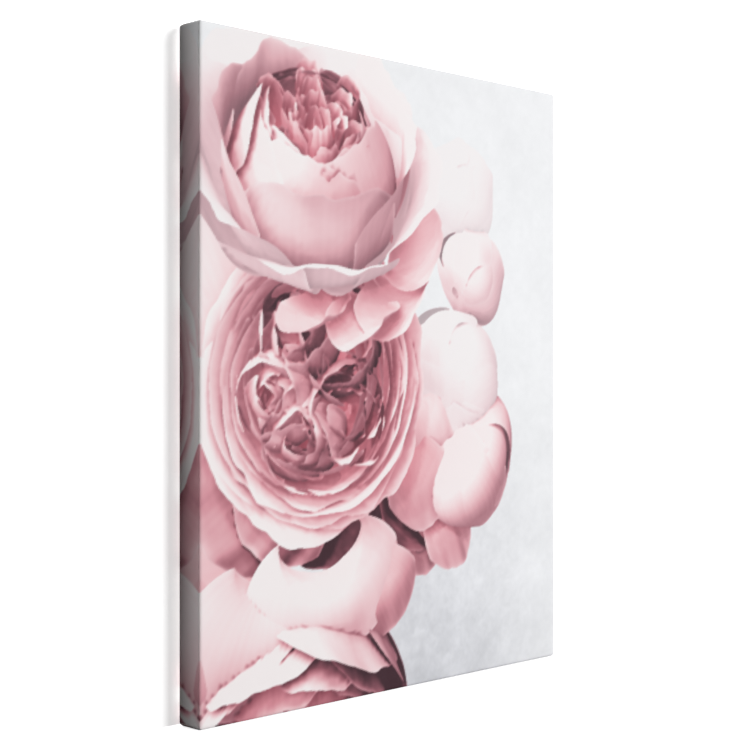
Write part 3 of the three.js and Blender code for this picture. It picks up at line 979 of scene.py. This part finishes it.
def printed_cloth():
    """Plain weave, printed on one side and bare elsewhere, with painted shade in the weave's
    hollows.
    """
    n = Nodes("printed_cloth")
    woven = n.attribute("weave")
    wander = n.noise(woven, 90, 2)
    x, y, _ = n.split(woven)
    turn_x = n.math("MULTIPLY_ADD", x, math.pi / THREAD_PITCH, n.math("MULTIPLY", wander, 3.0))
    turn_y = n.math("MULTIPLY_ADD", y, math.pi / THREAD_PITCH, n.math("MULTIPLY", wander, -3.0))
    warp, weft = n.math("SINE", turn_x), n.math("SINE", turn_y)
    both = n.math("MULTIPLY", warp, weft)
    over = n.math("ADD", n.math("ABSOLUTE", warp), both)
    under = n.math("SUBTRACT", n.math("ABSOLUTE", weft), both)
    thread = n.math("MULTIPLY", n.math("MAXIMUM", over, under), 0.5)
    along_x = n.noise(n.vector("MULTIPLY", woven, (60, 1500, 0)), 1, 2)
    along_y = n.noise(n.vector("MULTIPLY", woven, (1500, 60, 0)), 1, 2)
    slub = n.math("MULTIPLY", n.math("ADD", along_x, along_y), 0.5)
    height = n.math("ADD", thread, n.math("MULTIPLY", slub, 0.8))

    cotton = n.ramp(slub, COTTON)
    fleck = n.math("LESS_THAN", n.cells(n.vector("MULTIPLY", woven, (1, 1.7, 1)), 130), 0.045)
    cotton = n.mix(n.math("MULTIPLY", fleck, 0.6), cotton, COTTON_FLECK)
    # painted shade: the bare cotton is drawn darker in the weave's hollows, where the threads dip
    cotton = n.mix(0.45, cotton, n.mix(thread, grey(0.55), grey(1.0)), "MULTIPLY")

    # the print, which on the sides holds painted light and shade
    ink_and_painted_light = n.attribute("print", "Color")
    # painted shade: the print is drawn a little darker in the weave's hollows
    ink_and_painted_light = n.mix(1.0, ink_and_painted_light, n.mix(thread, grey(0.93), grey(1.0)), "MULTIPLY")
    colour = n.mix(n.attribute("print", "Alpha"), cotton, ink_and_painted_light)
    n.set(
        Base_Color=colour,
        Roughness=n.span(slub, 0.3, 0.7, 0.62, 0.82),
        Specular_IOR_Level=0.25,
        Sheen_Weight=0.08,
        Normal=n.bump(height, THREAD_RISE, 0.6),
    )
    return n.material


def wood(name, upright, seed, light, dark, ring_width, fleck=0.0):
    """Sawn wood with its grain along Z when upright, or along X."""
    n = Nodes(name)
    x, y, z = n.split(n.place())
    run, side = (z, x) if upright else (x, z)
    parts = (n.math("ADD", run, 3.7 * seed), y, side)
    drift = n.noise(n.merge(parts, (2.2, 14, 14)), 1.0, 3, 0.5)
    across = n.math("ADD", side, 0.013 * math.sin(5 * seed))
    deep = n.math("ADD", y, 0.045 + 0.02 * math.sin(3 * seed))  # the tree's middle is behind
    square = n.math("ADD", n.math("MULTIPLY", across, across), n.math("MULTIPLY", deep, deep))
    radius = n.math("SQRT", square)
    turns = n.math("ADD", n.math("DIVIDE", radius, ring_width), n.math("MULTIPLY", drift, 5.5))
    saw = n.math("FRACT", turns)
    fall = n.math("SUBTRACT", 1.0, n.span(saw, 0.93, 1.0, 0.0, 1.0))
    late = n.math("MULTIPLY", n.math("POWER", saw, 3.0), fall)
    fibre = n.noise(n.merge(parts, (35, 1900, 1900)), 1.0, 3, 0.6)
    broad = n.noise(n.merge(parts, (9, 160, 160)), 1.0, 2, 0.5)
    level = n.math("ADD", n.math("MULTIPLY", late, 0.55), n.math("MULTIPLY", fibre, 0.35))
    level = n.math("ADD", level, n.math("MULTIPLY", n.math("SUBTRACT", broad, 0.5), 0.5))
    middle = tuple((a + b) / 2 for a, b in zip(light, dark))
    colour = n.ramp(level, [(0.05, light), (0.45, middle), (0.9, dark)])
    flecks = n.noise(n.merge(parts, (130, 1300, 700)), 1.0, 1, 0.5)
    flecked = n.math("MULTIPLY", n.span(flecks, 0.62, 0.70, 0.0, 1.0), fleck)
    colour = n.mix(flecked, colour, (*faded(dark, 0.55), 1))
    height = n.math("ADD", n.math("MULTIPLY", fibre, 0.7), n.math("MULTIPLY", late, 0.5))
    n.set(
        Base_Color=colour,
        Roughness=n.span(level, 0.0, 1.0, 0.72, 0.5),
        Specular_IOR_Level=0.35,
        Normal=n.bump(height, FIBRE_RISE, 0.45),
    )
    return n.material


def metal(name, tint, dull, streak):
    """Plated metal with soft blotches, fine scratches along an axis and rubbed spots."""
    n = Nodes(name)
    place = n.place()
    blotch = n.noise(place, 420, 3)
    scratches = n.noise(n.vector("MULTIPLY", place, streak), 1.0, 3, 0.7)
    spot = n.math("GREATER_THAN", n.noise(place, 900, 1), 0.67)
    level = n.math("MULTIPLY_ADD", scratches, 0.5, n.math("MULTIPLY", blotch, 0.5))
    colour = n.ramp(level, [(0.3, faded(tint, 0.72)), (0.5, tint), (0.7, faded(tint, 1.1))])
    colour = n.mix(n.math("MULTIPLY", spot, 0.35), colour, (*faded(tint, 0.4), 1))
    height = n.math("MULTIPLY_ADD", scratches, 0.6, n.math("MULTIPLY", blotch, 0.4))
    n.set(
        Base_Color=colour,
        Metallic=1.0,
        Roughness=n.span(blotch, 0.3, 0.7, dull - 0.08, dull + 0.12),
        Normal=n.bump(height, SCRATCH_RISE, 0.4),
    )
    return n.material


def dress(name, material):
    for slot in bpy.data.objects[name].material_slots:
        slot.material = material


def finish_nodes():
    """Gives each node of the frame its material."""
    for seed, name in enumerate(("rail_top", "rail_bottom", "stile_left", "stile_right"), 1):
        dress(name, wood(f"pine_{name}", name.startswith("stile"), seed, **PINE))
    key_woods = {
        "rail": wood("beech_upright", True, 7, **BEECH),
        "stile": wood("beech_level", False, 9, **BEECH),
    }
    steel = metal("galvanised_steel", (0.62, 0.62, 0.64), 0.36, (700, 700, 700))
    for name in frame["nodes"]:
        if name.startswith("key_"):
            dress(name, key_woods[name.split("_")[1]])
        elif name.startswith(("staple_", "hanger_pin_")):
            dress(name, steel)
    dress("sawtooth_hanger", metal("zinc_plate", (0.70, 0.69, 0.66), 0.32, (90, 2600, 2600)))


# ==== the studio ====

EYE = Vector((-0.8558, -0.8579, MIDDLE))
EYE_WAY = Vector((1, 1, 0))
LENS = 71.8
SENSOR = 36
CENTRE = Vector((0, 0, MIDDLE))
KEY = {"place": (2.1, -5.0, 1.1), "size": 2.8, "power": 350}
BACK_LIGHT = {"place": (0.6, 2.4, 0.7), "size": 1.6, "power": 85}
SURROUND_LIGHT = 0.05
WHITE = 1.05  # just over what the render shows as white
GROUND = cloth_low.z - 0.5 * MM
FLOOR_RADIUS = 1.6
FLOOR_SIDES = 96
FLOOR_BOUNCE = 0.15
FLOOR_GLOW = 0.8  # near the object
WALL_SIZE = 3.0
WALL_INSET = 15 * MM  # how far the wall goes in behind the picture's edges
WALL_BOUNCE = 0.6
WALL_GLOW = 0.58


def camera():
    data = bpy.data.cameras.new("camera")
    data.lens = LENS
    data.sensor_width = SENSOR
    data.clip_start = 0.01
    eye = new_object("camera", data)
    eye.location = EYE
    eye.rotation_euler = EYE_WAY.to_track_quat("-Z", "Y").to_euler()
    bpy.context.scene.camera = eye


def area_light(name, place, size, power):
    """A square light that faces the middle of the picture."""
    data = bpy.data.lights.new(name, "AREA")
    data.shape = "SQUARE"
    data.size = size
    data.energy = power
    lamp = new_object(name, data)
    lamp.location = place
    lamp.rotation_euler = (CENTRE - lamp.location).to_track_quat("-Z", "Y").to_euler()
    return lamp


def surroundings():
    """A plain surround that lights a little and is seen as white."""
    world = bpy.data.worlds.new("surround")
    world.use_nodes = True
    nodes, links = world.node_tree.nodes, world.node_tree.links
    background = nodes["Background"]
    background.inputs["Color"].default_value = grey(1.0)
    rays = nodes.new("ShaderNodeLightPath")
    span = nodes.new("ShaderNodeMapRange")
    span.inputs["To Min"].default_value = SURROUND_LIGHT
    span.inputs["To Max"].default_value = WHITE
    links.new(rays.outputs["Is Camera Ray"], span.inputs["Value"])
    links.new(span.outputs[0], background.inputs["Strength"])
    bpy.context.scene.world = world


def backdrop(name, points, faces, bounce, paleness, glow):
    """A backdrop mesh that sends on less light than it shows, so that it doesn't tint the object.

    glow makes what it shows of its own light, from its nodes and the share of rays that come
    from the camera. Returns its nodes.
    """
    mesh = bpy.data.meshes.new(name)
    mesh.from_pydata(points, [], faces)
    n = Nodes(name)
    seen = n.tree.nodes.new("ShaderNodeLightPath").outputs["Is Camera Ray"]
    n.set(
        Base_Color=n.span(seen, 0, 1, bounce, paleness),
        Roughness=0.9,
        Specular_IOR_Level=0.0,
        Emission_Color=grey(1.0),
        Emission_Strength=glow(n, seen),
    )
    mesh.materials.append(n.material)
    staged = new_object(name, mesh)
    return n, staged


def floor():
    """A round pale floor, lit near the object and plain white further out."""
    turns = [2 * math.pi * i / FLOOR_SIDES for i in range(FLOOR_SIDES)]
    points = [(FLOOR_RADIUS * math.cos(t), FLOOR_RADIUS * math.sin(t), 0) for t in turns]

    def glow(n, seen):
        away = n.vector("LENGTH", n.place())
        return n.math("MULTIPLY", n.span(away, 0.5, 1.2, FLOOR_GLOW, 1.1), seen)

    _, ground = backdrop("floor", points, [range(FLOOR_SIDES)], FLOOR_BOUNCE, 0.92, glow)
    ground.location = (0, 0, GROUND)


def wall():
    """A pale wall that the picture hangs on, open behind the picture and unseen from behind."""
    xs = [-WALL_SIZE, cloth_low.x + WALL_INSET, cloth_high.x - WALL_INSET, WALL_SIZE]
    zs = [GROUND, cloth_low.z + WALL_INSET, cloth_high.z - WALL_INSET, WALL_SIZE]
    y = cad_box[1].y + 0.1 * MM
    points = [(x, y, z) for z in zs for x in xs]
    faces = []
    for row in range(3):
        for column in range(3):
            if (row, column) != (1, 1):
                first = 4 * row + column
                faces.append((first, first + 1, first + 5, first + 4))

    def glow(n, seen):
        return n.math("MULTIPLY", seen, WALL_GLOW)

    n, _ = backdrop("wall", points, faces, WALL_BOUNCE, 0.86, glow)
    nodes, links = n.tree.nodes, n.tree.links
    clear, mixed = nodes.new("ShaderNodeBsdfTransparent"), nodes.new("ShaderNodeMixShader")
    links.new(nodes.new("ShaderNodeNewGeometry").outputs["Backfacing"], mixed.inputs[0])
    links.new(n.shader.outputs[0], mixed.inputs[1])
    links.new(clear.outputs[0], mixed.inputs[2])
    links.new(mixed.outputs[0], nodes["Material Output"].inputs["Surface"])


def studio():
    """The camera, the lights and the backdrops. The wall doesn't block the back light."""
    camera()
    surroundings()
    area_light("key", **KEY)
    back = area_light("back", **BACK_LIGHT)
    pieces = bpy.data.collections.new("pieces")
    for name in frame["nodes"]:
        pieces.objects.link(bpy.data.objects[name])
    back.light_linking.blocker_collection = pieces
    floor()
    wall()
    bpy.context.scene.view_settings.view_transform = "Standard"


# ==== assembly ====

studio()
cloth = make_cloth()
cloth.data.materials.append(printed_cloth())
bpy.data.collections["pieces"].objects.link(cloth)
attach(cloth, "root")
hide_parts("canvas")
finish_nodes()
